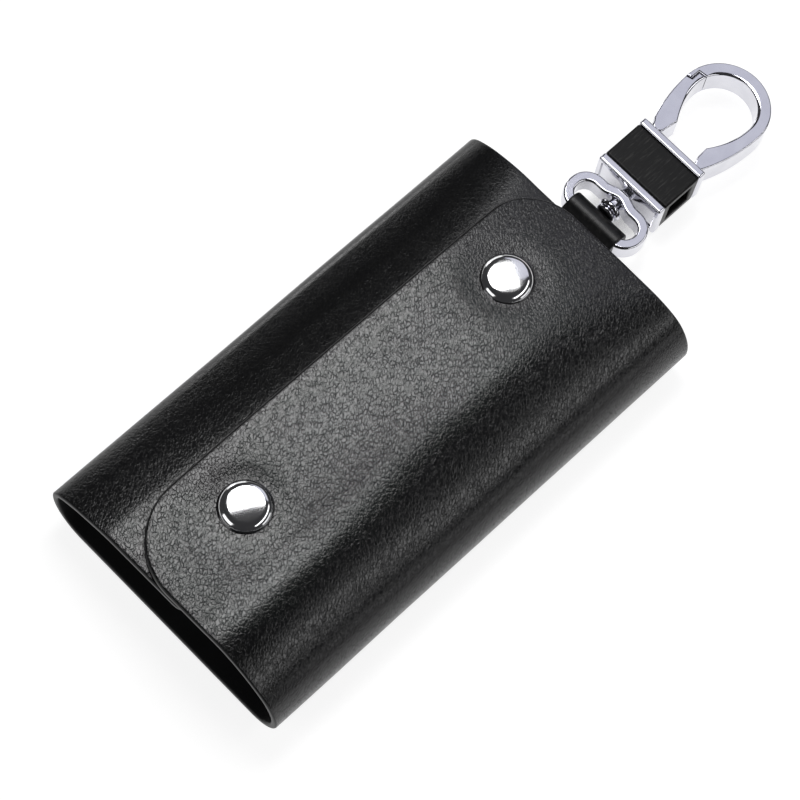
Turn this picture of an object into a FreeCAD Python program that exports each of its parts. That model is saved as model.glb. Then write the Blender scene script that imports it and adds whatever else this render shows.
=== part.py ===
import FreeCAD, Part
import math
import os

from FreeCAD import Vector

# Wrap-around leather key case with two snaps, a row of key hooks and a swivel clasp.
# Millimetres. Origin at the middle of the back panel's underside, X towards the clasp, Z up.

# Leather sheet
case_length = 110.0
case_width = 60.0
leather = 1.4
slit = 0.1
fold_strips = 2
hidden_sides = 12
touch = 1e-6

# Fold on the flap side and the crowned flap
flap_low_radius = 6.0
flap_high_radius = 9.5
flap_fold_turn = 152.0
flap_crown_radius = 32.0
flap_edge_y = 14.3
flap_mouth_corner = 15.0
flap_clasp_corner = 11.5

# Fold on the inner panel side, whose crown comes out of the heights
panel_low_radius = 8.0
panel_high_radius = 5.5
panel_fold_turn = 146.0
panel_edge_y = -6.0
panel_corner = 3.5
lap_gap = 0.3

# Snaps on the common centre line
centre_y = 1.8
snap_mouth_x = -33.1
snap_clasp_x = 35.1
cap_diameter = 10.8
cap_height = 2.1
cap_rim = 0.45
cap_tube_radius = 3.0
tube_wall = 0.4
stud_radius = 1.6
stud_rise = 1.0
stud_play = 0.9
snap_flange = 0.45
socket_flange_radius = 4.2
stud_flange_radius = 3.8
post_flange_radius = 4.0
seat_play = 0.05

# Leather tab and its rivets
tab_width = 13.0
tab_layer = 1.25
tab_depth = 12.0
tab_rivet_inset = 7.5
tab_rivet_spread = 8.0
rivet_radius = 0.9
rivet_head_radius = 1.7
rivet_head = 0.6
rivet_bite = 0.8

# Swivel loop and its hub
bar_reach = 6.8
bar_radius = 1.3
bar_play = 0.15
swivel_height = 4.8
loop_width = 19.6
loop_length = 9.4
loop_corner = 4.5
loop_wall = 2.2
loop_thickness = 4.2
loop_bevel = 0.5
loop_back = 1.6
hub_radius = 3.0
hub_lip = 0.2
hub_front_wall = 1.1

# Swivel pin
pin_radius = 1.4
pin_play = 0.06
pin_head_radius = 2.7
pin_neck_radius = 1.9
pin_head_play = 0.12
pin_ring = 0.8
pin_depth = 3.0

# Clasp frame
clasp_gap = 0.3
plate_width = 16.8
plate_height = 9.2
plate_thickness = 1.8
plate_bevel = 0.5
plate_recess = 0.4
plate_rim = 1.0
wrap_length = 9.8
wrap_width = 16.4
wrap_leather = 1.2
core_width = 10.0
core_thickness = 4.2
wrap_play = 0.06
wrap_corner = 0.7

# Hook of the clasp
hook_thickness = 6.0
hook_end_radius = 9.8
hook_wall = 2.8
hook_centre = 14.4
hook_side_radius = 35.0
hook_throat_length = 4.9
hook_throat_width = 8.3
hook_bevel = 0.45

# Gate of the clasp
gate_pin_radius = 0.75
gate_eye_radius = 1.45
gate_base_gap = 0.25
gate_lug_thickness = 2.6
gate_lug_play = 0.2
gate_lug_edge = 0.15
gate_eye_play = 0.2
gate_lip_length = 2.1
gate_lip_share = 0.5
gate_lip_slope = 0.3
gate_nose_slope = 0.12
gate_parting = 0.15
gate_nose_past = 1.9
gate_pin_play = 0.05
gate_pin_inset = 0.1
spring_leaf = 0.35
spring_length = 5.6
spring_play = 0.15

# Key row
hook_count = 6
hook_gap = 1.4
rail_depth = 9.0
rail_thickness = 0.8
rail_corner = 1.2
rail_overhang = 1.2
rail_edge_gap = 0.6
patch_gap = 0.4
patch_margin = 1.2
patch_leather = 0.9
stack_play = 0.05
rod_radius = 0.8
rod_rise = 1.8
ear_radius = 1.6
ear_thickness = 1.0
rod_setback = 4.0
rail_rivet_inset = 1.9

# Key hooks
key_eye_radius = 1.7
key_eye_sides = 8
key_eye_length = 3.4
key_eye_play = 0.06
key_hook_length = 20.0
key_wire_share = 0.23
key_corner_share = 0.3
key_slot_corner = 0.5
key_hook_thickness = 1.2
key_shank_width = 3.0
key_shank_length = 5.0
key_mouth_start = 8.6
key_mouth_length = 8.0
key_gate_leaf = 0.55
key_gate_root = 1.0
key_gate_overlap = 0.6
key_gate_play = 0.08
key_floor_gap = 0.15


# Places worked out from the sizes above
half_length = case_length / 2.0
tip = case_width / 2.0
flap_turn = math.radians(flap_fold_turn)
flap_low_centre = (tip - flap_low_radius, flap_low_radius)
flap_high_centre = (tip - flap_high_radius, flap_low_radius)
crown_shift = flap_high_radius - flap_crown_radius
flap_crown_centre = (
    flap_high_centre[0] + crown_shift * math.sin(flap_turn),
    flap_high_centre[1] - crown_shift * math.cos(flap_turn),
)
flap_top = flap_crown_centre[1] + flap_crown_radius
flap_under = flap_top - leather
panel_top = flap_under - lap_gap
panel_under = panel_top - leather
panel_turn = math.radians(panel_fold_turn)
panel_low_centre = (tip - panel_low_radius, panel_low_radius)
panel_high_centre = (tip - panel_high_radius, panel_low_radius)
panel_shoulder = panel_low_radius - panel_high_radius * math.cos(panel_turn)
panel_crown_radius = (panel_top - panel_shoulder) / (1.0 + math.cos(panel_turn))
panel_crown_centre = (
    panel_high_centre[0] + (panel_high_radius - panel_crown_radius) * math.sin(panel_turn),
    panel_top - panel_crown_radius,
)
half_turn = math.pi
quarter_turn = math.pi / 2.0

bar_x = half_length + bar_reach
loop_back_x = bar_x - loop_back
loop_front_x = loop_back_x + loop_length
hub_front_x = loop_front_x + hub_front_wall
hub_back_x = loop_front_x - loop_wall - hub_lip
lower_plate_x = hub_front_x + clasp_gap
wrap_x = lower_plate_x + plate_thickness
upper_plate_x = wrap_x + wrap_length
hook_base_x = upper_plate_x + plate_thickness
hook_centre_x = hook_base_x + hook_centre
tab_eye_radius = bar_radius + bar_play
tab_roll_radius = tab_eye_radius + tab_layer
snap_xs = (snap_mouth_x, snap_clasp_x)


def box(x0, x1, y0, y1, z0, z1):
    return Part.makeBox(x1 - x0, y1 - y0, z1 - z0, Vector(x0, y0, z0))


def post(radius, x, y, z0, z1):
    return Part.makeCylinder(radius, z1 - z0, Vector(x, y, z0), Vector(0, 0, 1))


def many_sided(radius, sides, x, y, z0, z1):
    # a post with flat sides, its corners on the radius
    turns = [2.0 * math.pi * (side + 0.5) / sides for side in range(sides)]
    return prism([(x + radius * math.cos(a), y + radius * math.sin(a)) for a in turns], z0, z1)


def hidden_post(radius, x, y, z0, z1):
    # for shanks, tubes and holes that no one sees
    return many_sided(radius, hidden_sides, x, y, z0, z1)


def rod_along_x(radius, x0, x1, y, z):
    return Part.makeCylinder(radius, x1 - x0, Vector(x0, y, z), Vector(1, 0, 0))


def rod_along_y(radius, x, y0, y1, z):
    return Part.makeCylinder(radius, y1 - y0, Vector(x, y0, z), Vector(0, 1, 0))


def prism(points, z0, z1):
    wire = Part.makePolygon([Vector(x, y, z0) for x, y in points + points[:1]])
    return Part.Face(wire).extrude(Vector(0, 0, z1 - z0))


def turned(profile, x, y, z, axis):
    # profile holds (radius, distance along the axis) pairs from one end to the other
    points = [Vector(radius, 0, height) for radius, height in profile]
    face = Part.Face(Part.makePolygon(points + points[:1]))
    solid = face.revolve(Vector(0, 0, 0), Vector(0, 0, 1), 360)
    solid.Placement = FreeCAD.Placement(Vector(x, y, z), FreeCAD.Rotation(Vector(0, 0, 1), axis))
    return solid


def write(name, solids):
    shape = solids[0] if len(solids) == 1 else Part.makeCompound(solids)
    shape.exportStep(os.path.join("parts", name + ".step"))


# A fold is drawn in (u, z), with u the distance outwards from the case's middle plane.
# The heading turns from 0, outwards along the back, over a quarter turn at the tip, to a half turn on top.
def on_arc(centre, radius, heading):
    return (centre[0] + radius * math.sin(heading), centre[1] - radius * math.cos(heading))


def fold_profile(arcs, depth):
    # outer arcs one way, inner arcs back, closed by two cuts square to the leather
    edges = []
    outer = []
    inner = []
    for centre, radius, start, end in arcs:
        middle = (start + end) / 2.0
        outer.append([on_arc(centre, radius, a) for a in (start, middle, end)])
        inner.append([on_arc(centre, radius - depth, a) for a in (end, middle, start)])
    for three in outer + inner[::-1]:
        edges.append(Part.Arc(*[Vector(0, u, z) for u, z in three]).toShape())
    first, last = outer[0][0], outer[-1][-1]
    edges.append(Part.makeLine(Vector(0, *last), Vector(0, *inner[-1][0])))
    edges.append(Part.makeLine(Vector(0, *inner[0][-1]), Vector(0, *first)))
    return Part.Face(Part.Wire(Part.__sortEdges__(edges)))


def along_case(face, side):
    # side is -1 for the flap's fold and +1 for the inner panel's fold
    solid = face.extrude(Vector(case_length, 0, 0))
    solid.translate(Vector(-half_length, 0, 0))
    if side < 0:
        solid = solid.mirror(Vector(0, 0, 0), Vector(0, 1, 0))
    return solid


def arcs_between(arcs, start, end):
    # the part of a chain of arcs between two headings, drawn in by half a slit at each end
    kept = []
    for centre, radius, first, last in arcs:
        low = max(first, start)
        high = min(last, end)
        if high - low > slit / radius:
            kept.append([centre, radius, low, high])
    kept[0][2] += slit / 2.0 / kept[0][1]
    kept[-1][3] -= slit / 2.0 / kept[-1][1]
    return kept


def fold_strip(arcs, total_turn, index, side):
    start = total_turn * index / fold_strips
    end = total_turn * (index + 1) / fold_strips
    return along_case(fold_profile(arcs_between(arcs, start, end), leather), side)


flap_fold_arcs = [
    (flap_low_centre, flap_low_radius, 0.0, quarter_turn),
    (flap_high_centre, flap_high_radius, quarter_turn, flap_turn),
]
panel_fold_arcs = [
    (panel_low_centre, panel_low_radius, 0.0, quarter_turn),
    (panel_high_centre, panel_high_radius, quarter_turn, panel_turn),
]


def rounded_sheet(x0, x1, y0, y1, z0, z1, corners):
    # corners holds the radii at (x0, y0), (x1, y0), (x1, y1), (x0, y1), nothing where square
    sheet = box(x0, x1, y0, y1, z0, z1)
    spots = [(x0, y0), (x1, y0), (x1, y1), (x0, y1)]
    for (x, y), radius in zip(spots, corners):
        if radius:
            edge = [e for e in sheet.Edges if is_upright(e, x, y)]
            sheet = sheet.makeFillet(radius, edge)
    return sheet


def is_upright(edge, x, y):
    points = [vertex.Point for vertex in edge.Vertexes]
    return len(points) == 2 and all(math.hypot(p.x - x, p.y - y) < touch for p in points)


def back_panel():
    low = -flap_low_centre[0] + slit / 2.0
    high = panel_low_centre[0] - slit / 2.0
    panel = box(-half_length, half_length, low, high, 0, leather)
    for x, y in tab_rivet_spots() + rail_rivet_spots():
        panel = panel.cut(rivet_hole(x, y, leather - rivet_bite, leather))
    return panel


def crowned_sheet(centre, radius, turn, side, edge_y, corners):
    # an arch that runs on from a fold, then flat to the free edge with its rounded corners
    arc = fold_profile([(centre, radius, turn + slit / 2.0 / radius, half_turn)], leather)
    top = centre[1] + radius
    y0, y1 = sorted((side * centre[0], edge_y))
    sheet = along_case(arc, side).fuse(box(-half_length, half_length, y0, y1, top - leather, top))
    y0, y1 = sorted((side * tip, edge_y))
    plan = rounded_sheet(-half_length, half_length, y0, y1, 0, top + leather, corners)
    return sheet.common(plan).removeSplitter()


def flap():
    corners = (0, 0, flap_clasp_corner, flap_mouth_corner)
    sheet = crowned_sheet(flap_crown_centre, flap_crown_radius, flap_turn, -1, flap_edge_y, corners)
    for x in snap_xs:
        sheet = sheet.cut(hidden_post(cap_tube_radius + seat_play, x, centre_y, flap_under, flap_top))
        seat = flap_under + snap_flange
        sheet = sheet.cut(post(socket_flange_radius + seat_play, x, centre_y, flap_under, seat))
    return sheet


def inner_panel():
    corners = (panel_corner, panel_corner, 0, 0)
    sheet = crowned_sheet(panel_crown_centre, panel_crown_radius, panel_turn, 1, panel_edge_y, corners)
    for x in snap_xs:
        sheet = sheet.cut(hidden_post(stud_radius + seat_play, x, centre_y, panel_under, panel_top))
        seat = panel_top - snap_flange
        sheet = sheet.cut(post(stud_flange_radius + seat_play, x, centre_y, seat, panel_top))
    return sheet


# A snap cap is a dome with a rolled rim, and a tube below it that goes through the flap.
def snap_cap(x):
    radius = cap_diameter / 2.0
    rise = cap_height - cap_rim
    dome_radius = (radius * radius + rise * rise) / (2.0 * rise)
    dome = Part.makeSphere(dome_radius, Vector(x, centre_y, flap_top + cap_height - dome_radius))
    rim = post(radius, x, centre_y, flap_top, flap_top + cap_rim)
    crown = dome.common(post(radius, x, centre_y, flap_top + cap_rim, flap_top + cap_height))
    cap = rim.fuse(crown).removeSplitter()
    tube = hidden_post(cap_tube_radius, x, centre_y, flap_under + snap_flange, flap_top)
    cavity = hidden_post(cap_tube_radius - tube_wall, x, centre_y, flap_under, flap_top)
    return cap.fuse(tube.cut(cavity)).removeSplitter()


def snap_socket(x):
    hole = hidden_post(stud_radius + stud_play, x, centre_y, flap_under, flap_top)
    return post(socket_flange_radius, x, centre_y, flap_under, flap_under + snap_flange).cut(hole)


def snap_stud(x):
    flange = post(stud_flange_radius, x, centre_y, panel_top - snap_flange, panel_top)
    knob = post(stud_radius, x, centre_y, panel_top - snap_flange, panel_top + stud_rise)
    shank = hidden_post(stud_radius, x, centre_y, panel_under, panel_top - snap_flange)
    return flange.fuse([knob, shank]).removeSplitter()


def snap_post(x):
    return hidden_post(post_flange_radius, x, centre_y, panel_under - snap_flange, panel_under)


# The tab is doubled leather: a stack on the back panel inside the case and a roll round the loop's bar.
tab_floor = leather + stack_play
tab_ceiling = tab_floor + 2.0 * tab_layer
tab_inner_x = half_length - tab_depth


def tangent_from(x, z, upper):
    # where a line from (x, z) touches the roll round the bar
    dx = x - bar_x
    dz = z - swivel_height
    reach = math.hypot(dx, dz)
    bearing = math.atan2(dz, dx)
    opening = math.acos(tab_roll_radius / reach)
    angle = bearing - opening if upper else bearing + opening
    return (bar_x + tab_roll_radius * math.cos(angle), swivel_height + tab_roll_radius * math.sin(angle))


def tab_rivet_spots():
    x = half_length - tab_rivet_inset
    return [(x, centre_y + s * tab_rivet_spread / 2.0) for s in (-1, 1)]


def leather_tab():
    low = tangent_from(half_length, tab_floor, False)
    high = tangent_from(half_length, tab_ceiling, True)
    far = (bar_x + tab_roll_radius, swivel_height)
    y0 = centre_y - tab_width / 2.0
    run = [high, (half_length, tab_ceiling), (tab_inner_x, tab_ceiling)]
    run += [(tab_inner_x, tab_floor), (half_length, tab_floor), low]
    edges = [Part.makeLine(Vector(a, y0, b), Vector(c, y0, d)) for (a, b), (c, d) in zip(run, run[1:])]
    edges.append(Part.Arc(*[Vector(a, y0, b) for a, b in (low, far, high)]).toShape())
    tab = Part.Face(Part.Wire(edges)).extrude(Vector(0, tab_width, 0))
    tab = tab.cut(rod_along_y(tab_eye_radius, bar_x, y0, y0 + tab_width, swivel_height))
    for x, y in tab_rivet_spots():
        tab = tab.cut(rivet_hole(x, y, tab_floor, tab_ceiling))
    return tab


def rivet_hole(x, y, z0, z1):
    return hidden_post(rivet_radius + seat_play, x, y, z0, z1)


def rivet(x, y, top):
    head = hidden_post(rivet_head_radius, x, y, top, top + rivet_head)
    shank = hidden_post(rivet_radius, x, y, leather - rivet_bite, top)
    return head.fuse(shank).removeSplitter()


# The swivel loop is a flat ring with a round bar at the back and a hub at the front.
def loop_outline(grow, z0, z1):
    corner = loop_corner + grow
    y0 = centre_y - loop_width / 2.0 - grow
    y1 = centre_y + loop_width / 2.0 + grow
    return rounded_sheet(loop_back_x - grow, loop_front_x + grow, y0, y1, z0, z1, [corner] * 4)


def swivel_loop():
    z0 = swivel_height - loop_thickness / 2.0
    z1 = swivel_height + loop_thickness / 2.0
    outer = loop_outline(0.0, z0, z1)
    rims = [e for e in outer.Edges if e.BoundBox.ZLength < touch]
    ring = outer.makeChamfer(loop_bevel, rims).cut(loop_outline(-loop_wall, z0, z1))
    y0 = centre_y - tab_width / 2.0 - clasp_gap
    y1 = centre_y + tab_width / 2.0 + clasp_gap
    ring = ring.cut(box(loop_back_x - loop_wall, bar_x + tab_roll_radius, y0, y1, z0, z1))
    bar = rod_along_y(bar_radius, bar_x, y0 - loop_wall / 2.0, y1 + loop_wall / 2.0, swivel_height)
    hub = rod_along_x(hub_radius, hub_back_x, hub_front_x, centre_y, swivel_height)
    bore = rod_along_x(pin_radius + pin_play, hub_back_x, hub_front_x, centre_y, swivel_height)
    return ring.fuse([bar, hub]).removeSplitter().cut(bore)


# The swivel pin has a ringed head inside the loop and a shank through the hub into the lower plate.
def swivel_pin():
    head_end = hub_back_x - pin_head_play
    head_start = bar_x + tab_roll_radius + pin_head_play
    length = head_end - head_start
    shank_end = lower_plate_x + pin_depth
    step = length - 2.0 * pin_ring
    profile = [
        (0, 0),
        (pin_neck_radius, 0),
        (pin_head_radius - pin_ring / 2.0, pin_ring / 2.0),
        (pin_head_radius - pin_ring / 2.0, pin_ring),
        (pin_neck_radius, pin_ring),
        (pin_neck_radius, pin_ring + step / 2.0),
        (pin_head_radius, pin_ring + step / 2.0),
        (pin_head_radius, length),
        (pin_radius, length),
        (pin_radius, shank_end - head_start),
        (0, shank_end - head_start),
    ]
    return turned(profile, head_start, centre_y, swivel_height, Vector(1, 0, 0))


# The clasp frame: two plates, the core between them and the hook, cast in one piece.
def plate(x):
    y0 = centre_y - plate_width / 2.0
    z0 = swivel_height - plate_height / 2.0
    slab = box(x, x + plate_thickness, y0, y0 + plate_width, z0, z0 + plate_height)
    front = [e for e in slab.Edges if e.BoundBox.XMax < x + touch]
    return slab.makeChamfer(plate_bevel, front)


def plate_pocket(x):
    y0 = centre_y - plate_width / 2.0 + plate_rim
    z0 = swivel_height - plate_height / 2.0 + plate_rim
    y1 = y0 + plate_width - 2.0 * plate_rim
    z1 = z0 + plate_height - 2.0 * plate_rim
    pocket = box(x, x + plate_recess, y0, y1, z0, z1)
    return pocket.cut(rod_along_x(hub_radius, x, x + plate_recess, centre_y, swivel_height))


hook_inner_radius = hook_end_radius - hook_wall
hook_low = swivel_height - hook_thickness / 2.0
hook_high = swivel_height + hook_thickness / 2.0
kink_x = hook_base_x + hook_throat_length
kink_v = hook_throat_width / 2.0


def side_arc(x, end_radius, radius):
    # half width, at x, of the long arc that runs on from the hook's round end
    return end_radius - radius + math.sqrt(radius * radius - (hook_centre_x - x) ** 2)


def hook_outline(z0, z1):
    base_v = side_arc(hook_base_x, hook_end_radius, hook_side_radius)
    middle_x = (hook_base_x + hook_centre_x) / 2.0
    middle_v = side_arc(middle_x, hook_end_radius, hook_side_radius)
    far = (hook_centre_x + hook_end_radius, 0)
    left = [(hook_base_x, base_v), (middle_x, middle_v), (hook_centre_x, hook_end_radius)]
    return teardrop(left, far, z0, z1)


def throat_outline(z0, z1):
    run = hook_centre_x - kink_x
    drop = hook_inner_radius - kink_v
    radius = (run * run + drop * drop) / (2.0 * drop)
    middle_x = (kink_x + hook_centre_x) / 2.0
    middle_v = side_arc(middle_x, hook_inner_radius, radius)
    far = (hook_centre_x + hook_inner_radius, 0)
    left = [(kink_x, kink_v), (middle_x, middle_v), (hook_centre_x, hook_inner_radius)]
    neck = box(hook_base_x, kink_x, centre_y - kink_v, centre_y + kink_v, z0, z1)
    return teardrop(left, far, z0, z1).fuse(neck).removeSplitter()


def teardrop(left, far, z0, z1):
    # a straight base, a long arc on each side and a round end
    def at(x, v):
        return Vector(x, centre_y + v, z0)

    up = [at(x, v) for x, v in left]
    down = [at(x, -v) for x, v in left]
    edges = [Part.makeLine(down[0], up[0]), Part.Arc(*up).toShape()]
    edges.append(Part.Arc(up[2], at(*far), down[2]).toShape())
    edges.append(Part.Arc(*down).toShape())
    face = Part.Face(Part.Wire(Part.__sortEdges__(edges)))
    return face.extrude(Vector(0, 0, z1 - z0))


def bevelled_ring():
    outer = hook_outline(hook_low, hook_high)
    rims = [e for e in outer.Edges if e.BoundBox.ZLength < touch and e.BoundBox.XMax > hook_base_x + touch]
    outer = outer.makeChamfer(hook_bevel, rims)
    throat = throat_outline(hook_low, hook_high)
    return outer.cut(throat)


gate_pivot_x = hook_base_x + gate_base_gap + gate_eye_radius
gate_pivot_v = kink_v + gate_eye_radius
gate_lip_v = hook_inner_radius + hook_wall * gate_lip_share
gate_nose_x = hook_centre_x + gate_nose_past


def gate_zone(shift, base_x):
    # the stretch of the hook's ring that is the gate, up to the stepped parting line
    lip_x = gate_nose_x - gate_lip_length + shift
    nose_x = gate_nose_x + shift
    out_v = hook_end_radius + hook_wall
    points = [
        (base_x, 0.0),
        (nose_x + gate_lip_v * gate_nose_slope, 0.0),
        (nose_x, gate_lip_v + shift),
        (lip_x, gate_lip_v + shift),
        (lip_x - (out_v - gate_lip_v) * gate_lip_slope, out_v),
        (base_x, out_v),
    ]
    return prism([(x, centre_y + v) for x, v in points], hook_low, hook_high)


lug_low = swivel_height - gate_lug_thickness / 2.0
lug_high = swivel_height + gate_lug_thickness / 2.0


def gate_lug():
    radius = gate_eye_radius - gate_lug_edge
    y = centre_y + gate_pivot_v
    root = box(hook_base_x, gate_pivot_x, y - radius, y + radius, lug_low, lug_high)
    return root.fuse(post(radius, gate_pivot_x, y, lug_low, lug_high)).removeSplitter()


def clasp_frame():
    lower = plate(lower_plate_x).cut(plate_pocket(lower_plate_x))
    upper = plate(upper_plate_x)
    y0 = centre_y - core_width / 2.0
    z0 = swivel_height - core_thickness / 2.0
    core = box(wrap_x, upper_plate_x, y0, y0 + core_width, z0, z0 + core_thickness)
    hook = bevelled_ring().cut(gate_zone(gate_parting, hook_base_x))
    frame = lower.fuse([upper, core, hook, gate_lug()]).removeSplitter()
    bore_radius = pin_radius + seat_play
    bore_end = lower_plate_x + pin_depth
    frame = frame.cut(rod_along_x(bore_radius, lower_plate_x, bore_end, centre_y, swivel_height))
    hole = post(gate_pin_radius + gate_pin_play, gate_pivot_x, centre_y + gate_pivot_v, lug_low, lug_high)
    return frame.cut(hole)


def clasp_gate():
    y = centre_y + gate_pivot_v
    gate = bevelled_ring().common(gate_zone(0.0, gate_pivot_x))
    eye = post(gate_eye_radius, gate_pivot_x, y, hook_low, hook_high)
    rims = [e for e in eye.Edges if e.BoundBox.ZLength < touch]
    gate = gate.fuse(eye.makeChamfer(hook_bevel, rims)).removeSplitter()
    slot_low = lug_low - gate_lug_play
    slot_high = lug_high + gate_lug_play
    clear = gate_eye_radius + gate_eye_play
    gate = gate.cut(post(clear, gate_pivot_x, y, slot_low, slot_high))
    wide = hook_end_radius
    gate = gate.cut(box(hook_base_x, gate_pivot_x, y - wide, y + wide, slot_low, slot_high))
    gate = gate.cut(spring_shape(spring_play, 0.0))
    hole = post(gate_pin_radius, gate_pivot_x, y, hook_low, hook_high)
    return gate.cut(hole)


def spring_shape(play, setback):
    # a leaf in a pocket of the gate, behind the lug
    start = gate_pivot_x + gate_eye_radius + setback
    end = start + spring_length + play - setback
    y = centre_y + gate_pivot_v
    half = spring_leaf / 2.0 + play
    return box(start, end, y - half, y + half, lug_low - play, lug_high + play)


def gate_pin():
    radius = gate_pin_radius - gate_pin_play
    y = centre_y + gate_pivot_v
    return post(radius, gate_pivot_x, y, hook_low + gate_pin_inset, hook_high - gate_pin_inset)


# The wrap is a strip of leather folded round the core, open at its two sides.
def leather_wrap():
    y0 = centre_y - wrap_width / 2.0
    y1 = y0 + wrap_width
    x0 = wrap_x + wrap_play
    x1 = upper_plate_x - wrap_play
    half = core_thickness / 2.0 + wrap_play
    low = swivel_height - half
    high = swivel_height + half
    wrap = box(x0, x1, y0, y1, low - wrap_leather, high + wrap_leather)
    folds = [e for e in wrap.Edges if e.BoundBox.YLength > wrap_width / 2.0]
    wrap = wrap.makeFillet(wrap_corner, folds)
    hollow = box(x0 + wrap_leather, x1 - wrap_leather, y0, y1, low, high)
    window_y = core_width / 2.0 + wrap_play
    window = box(x0, x1, centre_y - window_y, centre_y + window_y, low, high)
    return wrap.cut(hollow).cut(window)


# Key row: a patch, a rail with ears, a rod and the hooks on it, behind the tab.
patch_half = min(flap_low_centre[0], panel_low_centre[0]) - patch_gap
rail_half = patch_half - patch_margin
hook_pitch = 2.0 * (rail_half - rail_overhang) / hook_count
key_hook_width = hook_pitch - hook_gap
key_hook_wire = key_wire_share * key_hook_width
key_hook_corner = key_corner_share * key_hook_width
rail_front_x = tab_inner_x - rail_edge_gap
rail_back_x = rail_front_x - rail_depth
patch_floor = leather + stack_play
rail_floor = patch_floor + patch_leather + stack_play
rail_top = rail_floor + rail_thickness
rod_x = rail_back_x + rod_setback
rod_z = rail_top + rod_rise


def rail_rivet_spots():
    x = rail_front_x - rail_rivet_inset
    spread = rail_half - rail_rivet_inset
    return [(x, -spread), (x, spread)]


def rail_patch():
    top = patch_floor + patch_leather
    patch = box(rail_back_x - patch_margin, rail_front_x, -patch_half, patch_half, patch_floor, top)
    for x, y in rail_rivet_spots():
        patch = patch.cut(rivet_hole(x, y, patch_floor, top))
    return patch


def key_rail():
    rail = box(rail_back_x, rail_front_x, -rail_half, rail_half, rail_floor, rail_top)
    rail = rail.makeChamfer(rail_corner, [e for e in rail.Edges if e.BoundBox.ZLength > touch])
    for y in (-rail_half, rail_half - ear_thickness):
        ear = rod_along_y(ear_radius, rod_x, y, y + ear_thickness, rod_z)
        ear = ear.fuse(box(rod_x - ear_radius, rod_x + ear_radius, y, y + ear_thickness, rail_floor, rod_z))
        rail = rail.fuse(ear)
    rail = rail.removeSplitter()
    rail = rail.cut(rod_along_y(rod_radius + seat_play, rod_x, -rail_half, rail_half, rod_z))
    for x, y in rail_rivet_spots():
        rail = rail.cut(rivet_hole(x, y, rail_floor, rail_top))
    return rail


def hook_rod():
    return rod_along_y(rod_radius, rod_x, -rail_half, rail_half, rod_z)


# The hooks lie on the back panel, so they slope down from the rod by this angle.
hook_slope = math.asin((rod_z - key_hook_thickness / 2.0 - leather - key_floor_gap) / key_hook_length)


def place_hook(shape, y):
    # drawn with the length along -X and the rod at the origin
    shape.rotate(Vector(0, 0, 0), Vector(0, 1, 0), -math.degrees(hook_slope))
    shape.translate(Vector(rod_x, y, rod_z))
    return shape


def cut_corner_plate(x0, x1, half, corner, thickness):
    side = [(-x1, half - corner), (corner - x1, half), (-corner - x0, half), (-x0, half - corner)]
    points = side + [(x, -v) for x, v in reversed(side)]
    return prism(points, -thickness / 2.0, thickness / 2.0)


key_arm_inner = key_hook_width / 2.0 - key_hook_wire


def key_hook(y):
    thick = key_hook_thickness
    outer_half = key_hook_width / 2.0
    link = cut_corner_plate(key_shank_length, key_hook_length, outer_half, key_hook_corner, thick)
    inner_start = key_shank_length + key_hook_wire
    inner_end = key_hook_length - key_hook_wire
    slot = cut_corner_plate(inner_start, inner_end, key_arm_inner, key_slot_corner, 2.0 * thick)
    link = link.cut(slot)
    mouth_end = key_mouth_start + key_mouth_length
    link = link.cut(box(-mouth_end, -key_mouth_start, 0, key_hook_width, -thick, thick))
    half = key_shank_width / 2.0
    shank = box(-inner_start + key_gate_play, 0, -half, half, -thick / 2.0, thick / 2.0)
    eye = many_sided(key_eye_radius, key_eye_sides, 0, 0, -key_eye_length / 2.0, key_eye_length / 2.0)
    eye.rotate(Vector(0, 0, 0), Vector(1, 0, 0), 90)
    hook = link.fuse([shank, eye]).removeSplitter()
    bore = rod_along_y(rod_radius + key_eye_play, 0, -key_eye_length, key_eye_length, 0)
    return place_hook(hook.cut(bore), y)


def key_gate(y):
    thick = key_hook_thickness
    start = key_mouth_start - key_gate_root
    end = key_mouth_start + key_mouth_length + key_gate_overlap
    high = key_arm_inner - key_gate_play
    return place_hook(box(-end, -start, high - key_gate_leaf, high, -thick / 2.0, thick / 2.0), y)


def hook_rows():
    first = -(hook_count - 1) / 2.0 * hook_pitch
    return [first + index * hook_pitch for index in range(hook_count)]


os.makedirs("parts", exist_ok=True)

write("back_panel", [back_panel()])
write("flap", [flap()])
write("inner_panel", [inner_panel()])
for strip in range(fold_strips):
    write("flap_fold_%d" % (strip + 1), [fold_strip(flap_fold_arcs, flap_turn, strip, -1)])
    write("panel_fold_%d" % (strip + 1), [fold_strip(panel_fold_arcs, panel_turn, strip, 1)])
write("snap_caps", [snap_cap(x) for x in snap_xs])
write("snap_sockets", [snap_socket(x) for x in snap_xs])
write("snap_studs", [snap_stud(x) for x in snap_xs])
write("snap_posts", [snap_post(x) for x in snap_xs])
write("leather_tab", [leather_tab()])
write("tab_rivets", [rivet(x, y, tab_ceiling) for x, y in tab_rivet_spots()])
write("swivel_loop", [swivel_loop()])
write("swivel_pin", [swivel_pin()])
write("clasp_frame", [clasp_frame()])
write("leather_wrap", [leather_wrap()])
write("clasp_gate", [clasp_gate()])
write("gate_pin", [gate_pin()])
write("gate_spring", [spring_shape(0.0, gate_eye_play)])
write("rail_patch", [rail_patch()])
write("key_rail", [key_rail()])
write("rail_rivets", [rivet(x, y, rail_top) for x, y in rail_rivet_spots()])
write("hook_rod", [hook_rod()])
for number, row_y in enumerate(hook_rows(), start=1):
    write("key_hook_%d" % number, [key_hook(row_y)])
    write("key_gate_%d" % number, [key_gate(row_y)])
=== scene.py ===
import math

import bmesh
import bpy
import numpy as np
from mathutils import Matrix, Vector, noise


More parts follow.
